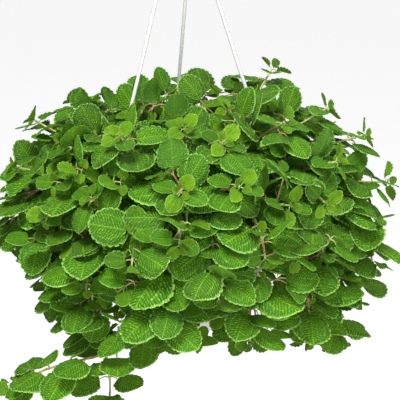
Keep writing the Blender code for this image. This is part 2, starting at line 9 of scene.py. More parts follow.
import bpy
import numpy as np
from mathutils.bvhtree import BVHTree
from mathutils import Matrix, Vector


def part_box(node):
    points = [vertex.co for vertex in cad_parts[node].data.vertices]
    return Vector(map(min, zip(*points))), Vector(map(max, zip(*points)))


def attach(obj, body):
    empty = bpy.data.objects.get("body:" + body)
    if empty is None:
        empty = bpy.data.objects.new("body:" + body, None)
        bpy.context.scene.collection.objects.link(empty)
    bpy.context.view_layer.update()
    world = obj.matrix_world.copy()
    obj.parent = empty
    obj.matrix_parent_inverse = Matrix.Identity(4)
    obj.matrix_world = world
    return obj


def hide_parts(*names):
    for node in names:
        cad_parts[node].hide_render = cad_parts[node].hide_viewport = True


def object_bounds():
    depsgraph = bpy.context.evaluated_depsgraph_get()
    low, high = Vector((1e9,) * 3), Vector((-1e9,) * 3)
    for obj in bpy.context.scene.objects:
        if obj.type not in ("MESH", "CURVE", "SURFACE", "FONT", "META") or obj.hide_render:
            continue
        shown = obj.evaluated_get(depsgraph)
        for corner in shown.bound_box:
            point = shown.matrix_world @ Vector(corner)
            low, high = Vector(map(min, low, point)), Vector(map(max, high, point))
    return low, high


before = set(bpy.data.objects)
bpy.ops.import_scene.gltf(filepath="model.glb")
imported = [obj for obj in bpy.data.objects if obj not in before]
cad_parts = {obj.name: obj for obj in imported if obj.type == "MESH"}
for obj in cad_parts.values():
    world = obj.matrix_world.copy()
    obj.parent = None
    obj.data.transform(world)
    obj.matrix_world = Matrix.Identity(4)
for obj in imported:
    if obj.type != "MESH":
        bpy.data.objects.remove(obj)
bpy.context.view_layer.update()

MM = 0.001
UP = np.array([0.0, 0.0, 1.0])
RNG = np.random.default_rng(7)

POT_HIGH = np.array(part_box("pot")[1])
RIM = POT_HIGH[2]
RIM_RADIUS = POT_HIGH[0]

# Reading the CAD shoots: corners this close are one, roots lie inside this share of the rim's radius, and
# stem rings this close belong to one node
WELD = 0.01 * MM
MIX_SHARE = 0.86
SAME_NODE = 3.0 * MM

# Leaves: the stalk's share of a leaf's length, the lobes each side of blades of three sizes, and the
# lengths at which a leaf looks newly opened and fully grown
STALK_SHARE = 0.2
STALK_RADIUS = 0.55 * MM
BIG_LOBES = 8
MIDDLE_LOBES = 6
SMALL_LOBES = 4
MIDDLE_BLADE = 17.0 * MM
SMALL_BLADE = 10.0 * MM
BABY_LEAF = 9.0 * MM
GROWN_LEAF = 31.0 * MM
AGE_SPREAD = 0.14

# Bend, cup and fold of a blade, in shares of its length: mean, spread, and what a young leaf adds
BEND = (0.35, 0.32, -0.5)
CUP = (0.55, 0.4, -0.9)
FOLD = (0.13, 0.07, 0.12)
MARGIN_WAVE = 0.016

# Outline of a blade: how far its notches and lobes stand from the plain line, and how lobes are spaced
HALF_WIDTH = 0.47
NOTCH = 0.95
LOBE = 1.025
LOBE_LEAN = 0.14

# Stems: sides, radius at each end, and how much and how far they swell at a node
STEM_SIDES = 7
STEM_ROOT = 1.35 * MM
STEM_TIP = 0.75 * MM
NODE_SWELL = 0.28
NODE_REACH = 1.6 * MM

# The first shoots are the long ones that hang free, and their leaves hardly grow
LONG_STEMS = 2
LONG_STEM_GROWTH = 1.04

# How far a leaf may turn up, and how many times its size it may grow: the first pair that has room
TURNS = ((1.3, 1.0), (0.9, 1.0), (0.6, 1.0), (0.4, 1.0), (0.2, 1.0), (0.0, 1.0))
GROWTHS = ((0.5, 1.28), (0.2, 1.28), (0.0, 1.28), (0.3, 1.14), (0.0, 1.14), (0.2, 1.0), (0.0, 1.0))

# How far a stem's foot reaches down into the potting mix from its CAD root
ROOT_DEPTH = 4.0 * MM

# Side twigs: how many, how far they reach from a stem and below it, their thickness, and their leaves
# from the tip back; gaps smaller than the limit are left, and a stem that is FAR is never chosen
TWIG_COUNT = 300
TWIG_REACH = 46.0 * MM
TWIG_LEAST = 13.0 * MM
TWIG_DROP = 30.0 * MM
TWIG_ROOT = 0.8 * MM
TWIG_TIP = 0.5 * MM
TWIG_LEAVES = np.array([10.0, 20.0, 29.0]) * MM
GAP_LIMIT = 10.0 * MM
FAR = 1.0
FAR_AWAY = 10.0

# What a twig's leaf tries in turn until it has room: sizes, and for each of them degrees of tilt and roll
SHRINKS = (1.0, 0.82, 0.66)
TILTS_AND_ROLLS = ((0, 0), (18, 0), (-10, 0), (0, 22), (0, -22), (34, 12), (34, -12))

# Domes that the twigs reach for: share of the full size and number of points on each
DOMES = ((0.97, 900), (0.86, 700), (0.74, 500))
DOME_SIZE = np.array([134.0, 130.0, 94.0]) * MM
DOME_CENTRE = np.array([4 * MM, 0.0, RIM - 22 * MM])
DOME_SPAN = 1.7
DOME_POWER = 2.3
BESIDE_RIM = 9.0 * MM
ABOVE_RIM = 10.0 * MM

# Young leaves at each shoot's end: length, lean along the stem and height above the stem's end; and
# what is taken off the age of these and of twigs' leaves
TIP_PAIRS = ((15.0 * MM, 0.3, 0.2 * MM), (8.5 * MM, 0.65, 1.8 * MM))
TIP_YOUNG = 0.25
TWIG_YOUNG = 0.12


# ---------------------------------------------------------------- arrays

def unit(v):
    """Vectors in v divided by their own length."""
    return v / np.maximum(np.linalg.norm(v, axis=-1, keepdims=True), 1e-12)


def smoothstep(low, high, x):
    """0 below low, 1 above high, and 3t^2 - 2t^3 between."""
    t = np.clip((x - low) / (high - low), 0.0, 1.0)
    return t * t * (3.0 - 2.0 * t)


def catmull(points, per_span):
    """Points on a Catmull-Rom curve: each span blends four neighbours with cubic weights."""
    ends = np.vstack([2 * points[0] - points[1], points, 2 * points[-1] - points[-2]])
    t = np.arange(per_span)[:, None] / per_span
    p0, p1, p2, p3 = (ends[k:len(ends) - 3 + k, None] for k in range(4))
    curve = 0.5 * (2 * p1 + (p2 - p0) * t + (2 * p0 - 5 * p1 + 4 * p2 - p3) * t**2
                   + (3 * p1 - p0 - 3 * p2 + p3) * t**3)
    return np.vstack([curve.reshape(-1, 3), points[-1:]])


def carried_frame(points, side):
    """Tangents of a path, and a side vector carried along it with the least twist."""
    tangents = unit(np.gradient(points, axis=0))
    sides = np.empty_like(points)
    for k, tangent in enumerate(tangents):
        side = unit(side - tangent * np.dot(side, tangent))
        sides[k] = side
    return tangents, sides


class Patch:
    """Vertices, triangles and per-vertex values gathered for one piece."""

    def __init__(self):
        self.verts = []
        self.tris = []
        self.material = []
        self.values = {name: [] for name in ("edge", "age", "seed", "across", "along")}
        self.count = 0

    def add(self, verts, tris, material, **values):
        """Append one batch; values are numbers or arrays, one for each vertex."""
        verts = verts.reshape(-1, 3)
        self.verts.append(verts)
        self.tris.append(tris.reshape(-1, 3) + self.count)
        self.material.append(np.full(tris.size // 3, material))
        for name, kept in self.values.items():
            kept.append(np.broadcast_to(np.ravel(values.get(name, 0.0)), (len(verts),)))
        self.count += len(verts)


def make_piece(name, patch, materials, nodes):
    """Turn a patch into a smooth-shaded mesh object that stands for the given CAD nodes."""
    verts = np.vstack(patch.verts).astype(np.float32)
    tris = np.vstack(patch.tris).astype(np.int32)
    mesh = bpy.data.meshes.new(name)
    mesh.vertices.add(len(verts))
    mesh.vertices.foreach_set("co", verts.ravel())
    mesh.loops.add(tris.size)
    mesh.loops.foreach_set("vertex_index", tris.ravel())
    mesh.polygons.add(len(tris))
    mesh.polygons.foreach_set("loop_start", np.arange(0, tris.size, 3, dtype=np.int32))
    mesh.polygons.foreach_set("material_index", np.concatenate(patch.material).astype(np.int32))
    mesh.polygons.foreach_set("use_smooth", np.ones(len(tris), bool))
    mesh.update(calc_edges=True)
    for value in ("edge", "age", "seed"):
        attribute = mesh.attributes.new(value, "FLOAT", "POINT")
        attribute.data.foreach_set("value", np.concatenate(patch.values[value]).astype(np.float32))
    flat = np.stack([np.concatenate(patch.values[value]) for value in ("across", "along")], axis=1)
    uv = mesh.uv_layers.new(name="blade")
    uv.data.foreach_set("uv", flat[tris.ravel()].astype(np.float32).ravel())
    mesh.validate()
    for material in materials:
        mesh.materials.append(material)
    piece = bpy.data.objects.new(name, mesh)
    bpy.context.scene.collection.objects.link(piece)
    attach(piece, "root")
    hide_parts(*nodes)
    return piece


def grid_tris(rows, columns, wrap=True):
    """Triangles of a grid of rows by columns, closed round the columns when wrap is set."""
    i, j = np.meshgrid(np.arange(rows - 1), np.arange(columns if wrap else columns - 1), indexing="ij")
    a = i * columns + j
    b = i * columns + (j + 1) % columns
    return np.stack([a, b, b + columns, a, b + columns, a + columns], axis=-1).reshape(-1, 3)


def fan_tris(ring_start, columns, centre, outward):
    """Triangles that close a ring onto one centre vertex."""
    j = np.arange(columns)
    a = ring_start + j
    b = ring_start + (j + 1) % columns
    middle = np.full(columns, centre)
    order = [a, b, middle] if outward else [b, a, middle]
    return np.stack(order, axis=-1)


def tube(path, radii, columns, side=(0.3, 0.9, 0.2)):
    """A round tube: circles of the given radii stood across a path, closed by a fan at each end."""
    tangents, sides = carried_frame(path, np.array(side))
    others = np.cross(tangents, sides)
    angle = np.linspace(0, 2 * np.pi, columns, endpoint=False)
    ring = np.cos(angle)[None, :, None] * sides[:, None] + np.sin(angle)[None, :, None] * others[:, None]
    verts = path[:, None] + np.asarray(radii)[:, None, None] * ring
    verts = np.vstack([verts.reshape(-1, 3), path[:1], path[-1:]])
    body = grid_tris(len(path), columns)
    start = fan_tris(0, columns, len(verts) - 2, False)
    end = fan_tris((len(path) - 1) * columns, columns, len(verts) - 1, True)
    return verts, np.vstack([body, start, end])


# ---------------------------------------------------------------- reading the CAD shoots

def joined_mesh(node):
    """Corner points and triangles of a CAD node, with equal corners made one."""
    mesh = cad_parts[node].data
    points = np.empty(len(mesh.vertices) * 3, np.float32)
    mesh.vertices.foreach_get("co", points)
    mesh.calc_loop_triangles()
    tris = np.empty(len(mesh.loop_triangles) * 3, np.int32)
    mesh.loop_triangles.foreach_get("vertices", tris)
    points = points.reshape(-1, 3).astype(float)
    cell = np.round(points / WELD).astype(np.int64)
    _, first, same = np.unique(cell, axis=0, return_index=True, return_inverse=True)
    return points[first], same.reshape(-1)[tris].reshape(-1, 3)


def neighbour_table(count, tris):
    """For every vertex the list of its neighbours, padded with -1, and how many it has."""
    pairs = np.vstack([tris[:, [0, 1]], tris[:, [1, 2]], tris[:, [2, 0]]])
    pairs = np.unique(np.sort(pairs, axis=1), axis=0)
    both = np.vstack([pairs, pairs[:, ::-1]])
    both = both[np.lexsort((both[:, 1], both[:, 0]))]
    valence = np.bincount(both[:, 0], minlength=count)
    start = np.concatenate([[0], np.cumsum(valence)[:-1]])
    table = np.full((count, valence.max()), -1)
    table[both[:, 0], np.arange(len(both)) - start[both[:, 0]]] = both[:, 1]
    return table, valence


def read_leaves(points, table, valence):
    """Base, direction, upper normal and length of each leaf.

    A leaf's two centre points have seven neighbours, three of them corners with four neighbours;
    its tip is the corner that touches both centres and the other two such corners.
    """
    real = table >= 0
    four = valence == 4
    fours = (four[table] & real).sum(axis=1)
    hub = (valence == 7) & (fours >= 3)
    hubs = (hub[table] & real).sum(axis=1)
    tip = np.nonzero(four & (hubs == 2) & (fours == 2))[0]
    near = table[tip][:, :4]
    near = np.take_along_axis(near, np.argsort(~hub[near], axis=1, kind="stable"), axis=1)
    away = np.linalg.norm(points[near[:, :2]] - points[tip][:, None], axis=2)
    first = away[:, 0] > away[:, 1]
    upper = np.where(first, near[:, 0], near[:, 1])
    lower = np.where(first, near[:, 1], near[:, 0])
    right, left = near[:, 2], near[:, 3]
    inner_right = table[right][:, :4].sum(axis=1) - tip - upper - lower
    inner_left = table[left][:, :4].sum(axis=1) - tip - upper - lower
    rim = points[tip] + points[right] + points[left] + points[inner_right] + points[inner_left]
    foot = points[table[upper][:, :7]].sum(axis=1) + points[table[lower][:, :7]].sum(axis=1) - 2 * rim
    base = foot / 4
    w = unit(points[right] - points[left])
    d = unit(points[tip] - base)
    n = unit(np.cross(d, w))
    flip = np.sign(np.sum(n * (points[upper] - points[lower]), axis=1))[:, None]
    n = n * flip
    w = w * flip
    d = unit(np.cross(w, n))
    length = np.sum((points[tip] - base) * d, axis=1)
    leaf_points = np.concatenate([tip, upper, lower, right, left, inner_right, inner_left])
    return base, d, n, length, leaf_points


def read_stem(points, table, leaf_points):
    """Centres of the stem's rings, found level by level from the four corners at its root."""
    stem = np.ones(len(points), bool)
    stem[leaf_points] = False
    inside = stem & (np.hypot(points[:, 0], points[:, 1]) < MIX_SHARE * RIM_RADIUS)
    candidates = np.nonzero(inside)[0]
    level = np.full(len(points), -1)
    level[candidates[np.argsort(points[candidates, 2])[:4]]] = 0
    step = 0
    while True:
        reached = np.unique(table[level == step])
        reached = reached[reached >= 0]
        reached = reached[stem[reached] & (level[reached] < 0)]
        if not len(reached):
            break
        step += 1
        level[reached] = step
    return np.array([points[level == k].mean(axis=0) for k in range(step + 1)])


def thin_out(centres):
    """Join ring centres that lie close, so that each node of the stem gives one point."""
    kept = [centres[0]]
    for centre in centres[1:]:
        if np.linalg.norm(centre - kept[-1]) < SAME_NODE and len(kept) > 1:
            kept[-1] = 0.5 * (kept[-1] + centre)
        else:
            kept.append(centre)
    return np.array(kept)


# ---------------------------------------------------------------- leaves

def zip_lines(first, first_key, second, second_key):
    """Triangles between two rows of points, always stepping along the row that is behind."""
    tris = []
    i = j = 0
    while i < len(first) - 1 or j < len(second) - 1:
        ahead = j == len(second) - 1 or (i < len(first) - 1 and first_key[i + 1] <= second_key[j + 1])
        if ahead:
            tris.append((first[i], first[i + 1], second[j]))
            i += 1
        else:
            tris.append((first[i], second[j + 1], second[j]))
            j += 1
    return [t for t in tris if len(set(t)) == 3]


def leaf_net(lobes):
    """Flat net of a blade of length 1: midrib, a row of puckers each side, and a scalloped margin.

    The half outline is across = 0.47 sin(f)^p (1 + 0.12 cos f) and along = 0.48 - cos(f) / 2, for f
    from the stalk, 0, to the tip, pi, where p grows from 0.75 to 1.05 so that the tip is the narrower
    end.  Each lobe has a notch 5% inside that line and two points 2.5% outside it.
    """
    step = np.arange(3 * lobes)
    notch = step % 3 == 0
    lean = np.where(notch, 0.0, np.where(step % 3 == 1, -LOBE_LEAN, LOBE_LEAN))
    f = (0.14 + 0.86 * (step + lean) / len(step)) * np.pi
    outward = np.where(notch, NOTCH, LOBE)
    across = HALF_WIDTH * np.sin(f)**(0.75 + 0.3 * f / np.pi) * (1 + 0.12 * np.cos(f)) * outward
    along = 0.48 - 0.5 * np.cos(f) * outward
    rows = lobes // 2 + 1
    mid_along = np.append(np.linspace(0.03, 0.86, rows), 1.0)
    inner_f = (0.2 + 0.62 * (np.arange(rows) + 0.5) / rows) * np.pi
    inner_across = 0.29 * np.sin(inner_f)**0.8
    inner_along = 0.46 - 0.42 * np.cos(inner_f)
    points = [(0.0, a, 0.0, -0.012) for a in mid_along[:-1]]
    points.append((0.0, 1.0, 1.0, 0.0))
    mid = list(range(len(points)))
    done = []
    for side in (1.0, -1.0):
        inner = list(range(len(points), len(points) + rows))
        points.extend((side * b, a, 0.55, 0.035) for b, a in zip(inner_across, inner_along))
        rim = [mid[0], *range(len(points), len(points) + len(step)), mid[-1]]
        points.extend((side * b, a, 1.0, -0.03 if n else 0.0) for b, a, n in zip(across, along, notch))
        half = zip_lines(mid, mid_along, inner, inner_along)
        half += zip_lines(inner, inner_f, rim, [0.0, *f, np.pi])
        done.extend((a, b, c) if side < 0 else (a, c, b) for a, b, c in half)
    return np.array(points), np.array(done)


NETS = {lobes: leaf_net(lobes) for lobes in (BIG_LOBES, MIDDLE_LOBES, SMALL_LOBES)}


class Leaves:
    """All leaves of the plant, a row each: base, direction, upper normal, length, shoot number and youth."""

    def __init__(self):
        self.rows = []

    def add(self, base, d, n, length, shoot, young=0.0):
        """Add leaves given as arrays; young is taken off their age, which makes them lighter."""
        for row in zip(base, d, n, length):
            self.rows.append((*row, shoot, young))

    def table(self):
        """The leaves as one set of arrays."""
        base, d, n = (np.array([row[k] for row in self.rows]) for k in range(3))
        length, shoot, young = (np.array([row[k] for row in self.rows]) for k in range(3, 6))
        return base, d, n, length, shoot.astype(int), young


def blade_points(net, base, d, n, length, bend, cup, fold, wave, phase):
    """Blade points in space, one row for each leaf.

    Height above the flat net is pucker - bend a^2 / 2 - cup b^2 + fold |b| + a wave round the margin,
    all in shares of the blade's length; bending also shortens the blade along its direction.
    """
    w = np.cross(d, n)
    blade = (1 - STALK_SHARE) * length
    b, a, edge, pucker = net.T
    a_now = a - bend[:, None]**2 * a**3 / 6
    around = np.arctan2(b, a - 0.5)
    height = (pucker - bend[:, None] * a**2 / 2 - cup[:, None] * b**2 + fold[:, None] * np.abs(b)
              + wave[:, None] * edge * np.sin(3 * around + phase[:, None]))
    start = base + d * (STALK_SHARE * length * 0.9)[:, None]
    size = blade[:, None, None]
    return (start[:, None] + d[:, None] * a_now[..., None] * size + w[:, None] * b[None, :, None] * size
            + n[:, None] * height[..., None] * size)


def stalk_points(base, d, n, length):
    """Leaf stalks as four-sided tubes that rise in a low arch from the stem to the blade."""
    t = np.linspace(-0.06, 1.04, 5)
    reach = (STALK_SHARE * length * 0.95)[:, None]
    arch = 0.035 * length[:, None] * np.sin(np.pi * np.clip(t, 0, 1))
    centre = base[:, None] + d[:, None] * (reach * t)[..., None] + n[:, None] * arch[..., None]
    w = np.cross(n, d)
    thick = STALK_RADIUS * np.clip(length / (26 * MM), 0.45, 1.1)[:, None] * (1.15 - 0.3 * t)
    corners = np.array([(1, 0), (0, 1), (-1, 0), (0, -1)])
    cross = corners[:, 0, None] * w[:, None, None] + corners[:, 1, None] * n[:, None, None]
    return centre[:, :, None] + thick[..., None, None] * cross


def add_leaves(patch, base, d, n, length, young):
    """Append blades and stalks of these leaves to a patch; grown leaves droop, and young ones curl up."""
    count = len(base)
    blade = (1 - STALK_SHARE) * length
    size_age = smoothstep(BABY_LEAF, GROWN_LEAF, length)
    age = np.clip(size_age + AGE_SPREAD * RNG.standard_normal(count) - young, 0.0, 1.0)
    seed = RNG.uniform(0, 1, count)
    bend, cup = (mean + spread * RNG.standard_normal(count) * size_age + baby * (1 - size_age)
                 for mean, spread, baby in (BEND, CUP))
    fold = FOLD[0] + FOLD[1] * RNG.standard_normal(count) + FOLD[2] * (1 - size_age)
    wave = MARGIN_WAVE * RNG.uniform(0.3, 1.8, count)
    phase = RNG.uniform(0, 2 * np.pi, count)
    shape = (base, d, n, length, bend, cup, fold, wave, phase)
    for lobes, low, high in ((BIG_LOBES, MIDDLE_BLADE, 1.0), (MIDDLE_LOBES, SMALL_BLADE, MIDDLE_BLADE),
                             (SMALL_LOBES, 0.0, SMALL_BLADE)):
        chosen = (blade >= low) & (blade < high)
        k = np.nonzero(chosen)[0]
        if not len(k):
            continue
        net, tris = NETS[lobes]
        points = blade_points(net, *(values[k] for values in shape))
        spread = np.arange(len(k))[:, None, None] * len(net)
        repeat = np.ones((len(k), 1))
        patch.add(points, tris[None] + spread, 0, edge=repeat * net[:, 2], age=age[k, None] + 0 * net[:, 0],
                  seed=seed[k, None] + 0 * net[:, 0], across=repeat * net[:, 0], along=repeat * net[:, 1])
    tubes = stalk_points(base, d, n, length)
    ring = grid_tris(5, 4)[None] + np.arange(count)[:, None, None] * 20
    patch.add(tubes, ring, 1, age=np.repeat(0.1 + 0.34 * age, 20), seed=np.repeat(seed, 20))


# ---------------------------------------------------------------- stems

def add_stem(patch, path, thick_root, thick_tip, nodes, seed):
    """Append a round stem: radius falls evenly from root to tip and swells a little at each node."""
    steps = np.linalg.norm(np.diff(path, axis=0), axis=1)
    share = np.concatenate([[0.0], np.cumsum(steps)]) / steps.sum()
    radii = thick_root + (thick_tip - thick_root) * share
    if len(nodes):
        gap = np.linalg.norm(path[:, None] - nodes[None], axis=2).min(axis=1)
        radii = radii * (1 + NODE_SWELL * np.exp(-(gap / NODE_REACH)**2))
    verts, tris = tube(path, radii, STEM_SIDES)
    along = np.concatenate([np.repeat(share, STEM_SIDES), [0.0, 1.0]])
    patch.add(verts, tris, 1, age=1.0 - 0.75 * along, seed=seed, along=along)


def read_plant():
    """Stem path, pair places and leaves of every CAD shoot."""
    shoots = []
    leaves = Leaves()
    for node in sorted(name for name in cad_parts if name.startswith("vine_")):
        points, tris = joined_mesh(node)
        table, valence = neighbour_table(len(points), tris)
        base, d, n, length, leaf_points = read_leaves(points, table, valence)
        centres = read_stem(points, table, leaf_points)
        path = catmull(thin_out(centres), 4)
        shoots.append({"node": node, "path": path, "bases": base, "twigs": []})
        leaves.add(base, d, n, length, len(shoots) - 1)
    return shoots, leaves


def grow_tips(shoots, leaves):
    """Two pairs of small young leaves at the end of every stem, each pair across the one before."""
    for number, shoot in enumerate(shoots):
        end = shoot["path"][-1]
        t = unit(end - shoot["path"][-5])
        rows = [row for row in leaves.rows if row[4] == number]
        last = min(rows, key=lambda row: np.linalg.norm(row[0] - end))
        e = unit(last[1] - t * np.dot(last[1], t))
        for size, lift, rise in TIP_PAIRS:
            e = unit(np.cross(t, e))
            for sign in (1.0, -1.0):
                d = unit(sign * e + lift * t)
                n = unit(t - d * np.dot(t, d))
                base = end + t * rise + sign * e * 0.5 * MM
                leaves.add([base], [d], [n], [size * RNG.uniform(0.85, 1.15)], number, TIP_YOUNG)


# ---------------------------------------------------------------- room for side twigs

def probe(base, d, n, length):
    """A simple closed copy of a leaf, from its stalk's end to its tip, for finding clear room."""
    w = np.cross(n, d)
    blade = (1 - STALK_SHARE) * length
    start = base + d * STALK_SHARE * length
    flat = ((0.0, 0.0), (0.44, 0.2), (0.44, 0.7), (0.0, 1.0), (-0.44, 0.7), (-0.44, 0.2))
    ring = [start + w * b * blade + d * a * blade for b, a in flat]
    ring.append(start + d * 0.45 * blade + n * 0.06 * blade)
    ring.append(start + d * 0.45 * blade - n * 0.06 * blade)
    faces = [(k, (k + 1) % 6, 6) for k in range(6)] + [((k + 1) % 6, k, 7) for k in range(6)]
    return BVHTree.FromPolygons([tuple(p) for p in ring], faces)


class Room:
    """The leaves and solids already in place."""

    def __init__(self, leaves, solids):
        self.centres = []
        self.reach = []
        self.trees = []
        self.solids = solids
        for base, d, n, length, _, _ in leaves.rows:
            self.keep(base, d, n, length)

    def keep(self, base, d, n, length):
        """Remember one more leaf."""
        self.centres.append(None)
        self.reach.append(None)
        self.trees.append(None)
        self.put(-1, base, d, n, length)

    def put(self, k, base, d, n, length):
        """Place leaf k."""
        self.centres[k] = base + d * length * 0.6
        self.reach[k] = 0.5 * length
        self.trees[k] = probe(base, d, n, length)

    def free(self, base, d, n, length):
        """True when a leaf here would touch nothing."""
        tree = probe(base, d, n, length)
        if tree.overlap(self.solids):
            return False
        centre = base + d * length * 0.6
        gap = np.linalg.norm(np.array(self.centres) - centre, axis=1)
        near = np.nonzero(gap < 0.5 * length + np.array(self.reach))[0]
        return not any(tree.overlap(self.trees[k]) for k in near)


def solid_tree():
    """Surface tree of the pot, mix, hook and strands."""
    verts = []
    tris = []
    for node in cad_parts:
        if not node.startswith("vine_"):
            points, faces = joined_mesh(node)
            tris.extend((faces + len(verts)).tolist())
            verts.extend(points.tolist())
    return BVHTree.FromPolygons(verts, tris)


def lift_leaves(leaves, room, choices):
    """Turn each leaf's face towards the light above and let it grow, by the first choice with room."""
    for k, (base, d, n, length, shoot, young) in enumerate(leaves.rows):
        if young:
            continue
        room.centres[k] = base + FAR_AWAY * UP  # so that the leaf isn't tested against itself
        for share, growth in choices:
            growth = min(growth, LONG_STEM_GROWTH) if shoot < LONG_STEMS else growth
            n1 = unit(n + share * UP)
            d1 = unit(d - n1 * np.dot(d, n1))
            if (growth == 1.0 and share == 0.0) or room.free(base, d1, n1, length * growth):
                break
        leaves.rows[k] = (base, d1, n1, length * growth, shoot, young)
        room.put(k, base, d1, n1, length * growth)


def shell_points():
    """Golden-angle points on nested domes over and around the pot.

    A point's height h falls evenly from 1, in shares of the dome's size.  Its distance from the axis is
    (1 - h^p)^(1/p) above the middle, which makes the shoulders full, and sqrt(1 - h^2) below it.
    """
    sets = []
    for scale, count in DOMES:
        k = np.arange(count) + 0.5
        height = 1.0 - DOME_SPAN * k / count
        angle = k * np.pi * (3 - math.sqrt(5))
        high = (1 - np.abs(height)**DOME_POWER)**(1 / DOME_POWER)
        flat = np.where(height > 0, high, np.sqrt(1 - height**2))
        points = np.stack([flat * np.cos(angle), flat * np.sin(angle), height], axis=1)
        sets.append(points * (DOME_SIZE * scale) + DOME_CENTRE)
    points = np.vstack(sets)
    radius = np.hypot(points[:, 0], points[:, 1])
    in_pot = (radius < RIM_RADIUS + BESIDE_RIM) & (points[:, 2] < RIM + ABOVE_RIM)
    return points[~in_pot]


def turned(v, axis, angle):
    """v turned about a unit axis."""
    c, s = math.cos(angle), math.sin(angle)
    return v * c + np.cross(axis, v) * s + axis * np.dot(axis, v) * (1 - c)


def fit_leaf(room, base, d, n, size):
    """Try turns and smaller sizes until the leaf has room."""
    for shrink in SHRINKS:
        for tilt, roll in TILTS_AND_ROLLS:
            w = np.cross(n, d)
            d1 = turned(d, w, math.radians(tilt))
            n1 = turned(n, w, math.radians(tilt))
            n2 = turned(n1, d1, math.radians(roll))
            if room.free(base, d1, n2, size * shrink):
                return d1, n2, size * shrink
    return None


def grow_twigs(shoots, leaves, room):
    """Side twigs from the nearest stems into the widest gaps, each with up to three leaf pairs."""
    goals = shell_points()
    centres = np.array(room.centres)
    gap = np.linalg.norm(goals[:, None] - centres[None], axis=2).min(axis=1)
    stem_points = np.vstack([shoot["path"][4:-2] for shoot in shoots])
    owner = np.concatenate([np.full(len(shoot["path"][4:-2]), k) for k, shoot in enumerate(shoots)])
    made = 0
    for _ in range(4 * TWIG_COUNT):
        best = int(np.argmax(gap))
        if made >= TWIG_COUNT or gap[best] < GAP_LIMIT:
            break
        goal = goals[best]
        gap[best] = 0.0
        offset = goal - stem_points
        reach = np.linalg.norm(offset, axis=1)
        reach = np.where((reach > TWIG_LEAST) & (offset[:, 2] > -TWIG_DROP), reach, FAR)
        start = int(np.argmin(reach))
        if reach[start] > TWIG_REACH:
            continue
        foot = stem_points[start]
        outward = unit(goal * np.array([1.0, 1.0, 0.0]))
        middle = 0.5 * (foot + goal) + (0.25 * UP + 0.1 * outward) * reach[start]
        path = catmull(np.array([foot, middle, goal]), 5)
        placed = twig_leaves(path, outward, room, leaves, owner[start])
        if not placed:
            continue
        shoots[owner[start]]["twigs"].append(path)
        made += 1
        fresh = np.array(room.centres[-placed:])
        gap = np.minimum(gap, np.linalg.norm(goals[:, None] - fresh[None], axis=2).min(axis=1))


def twig_leaves(path, outward, room, leaves, shoot):
    """Leaf pairs of one twig, from its tip back; returns how many leaves found room.

    Leaves lean along the twig and outward, less from pair to pair, and look up and outward.
    """
    t = unit(path[-1] - path[-3])
    side = np.cross(t, UP) + 0.3 * RNG.standard_normal(3)
    side = unit(side - t * np.dot(side, t))
    placed = 0
    sizes = TWIG_LEAVES * RNG.uniform(0.85, 1.15)
    for order, (where, size) in enumerate(zip((-1, -3, -6), sizes)):
        side = unit(np.cross(t, side))
        for sign in (1.0, -1.0):
            d = unit(sign * side + (0.35 - 0.15 * order) * t + 0.2 * order * outward)
            face = 1.5 * UP + 0.5 * outward + (0.8 - 0.3 * order) * t + 0.25 * RNG.standard_normal(3)
            n = unit(face - d * np.dot(face, d))
            base = path[where] + sign * side * 0.5 * MM
            found = fit_leaf(room, base, d, n, size)
            if found is None:
                continue
            room.keep(base, *found)
            leaves.add([base], [found[0]], [found[1]], [found[2]], shoot, TWIG_YOUNG)
            placed += 1
    return placed


# ---------------------------------------------------------------- shader groups

def new_group(name, inputs, outputs):
    """Start a shader node group; returns it, its node helper and the sockets of its inputs by name."""
    group = bpy.data.node_groups.new(name, "ShaderNodeTree")
    for label, kind, value in inputs:
        socket = group.interface.new_socket(label, in_out="INPUT", socket_type=kind)
        if value is not None:
            socket.default_value = value
    for label, kind in outputs:
        group.interface.new_socket(label, in_out="OUTPUT", socket_type=kind)
    return group, Nodes(group), group.nodes.new("NodeGroupInput").outputs


